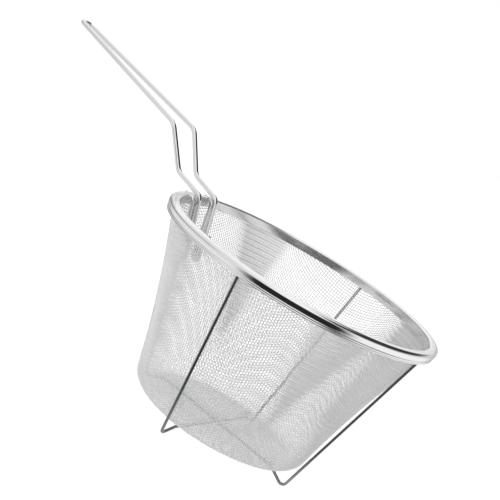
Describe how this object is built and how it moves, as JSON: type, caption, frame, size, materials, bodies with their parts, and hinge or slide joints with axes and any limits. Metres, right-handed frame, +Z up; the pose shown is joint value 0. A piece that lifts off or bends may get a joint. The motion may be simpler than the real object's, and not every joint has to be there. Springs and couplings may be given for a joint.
{
  "type": "deep fryer basket",
  "caption": "Round tapered wire-mesh basket with a rolled rim, crossed wire cradle with feet and a raised long wire loop handle hooked over the rim.",
  "frame": {"origin": "the middle of the four feet, on the plane that they stand on, straight under the middle of the bowl", "axes": "+Z up through the middle of the bowl; the handle points along -X; one cradle wire runs along X and the other along Y"},
  "size_m": [0.3452, 0.1998, 0.1839],
  "materials": {
    "rim_sheet": "bright plated sheet steel",
    "mesh_wire": "bright plated fine wire, plain weave",
    "cradle_wire": "bright plated wire",
    "handle_wire": "bright plated wire",
    "strip_sheet": "plain thin sheet steel"
  },
  "bodies": {
    "root": {"rim_band": "rim_sheet", "mesh_bowl": "mesh_wire", "long_cradle_wire": "cradle_wire", "cross_cradle_wire": "cradle_wire", "wire_handle": "handle_wire", "handle_backing_strip": "strip_sheet"}
  },
  "joints": []
}
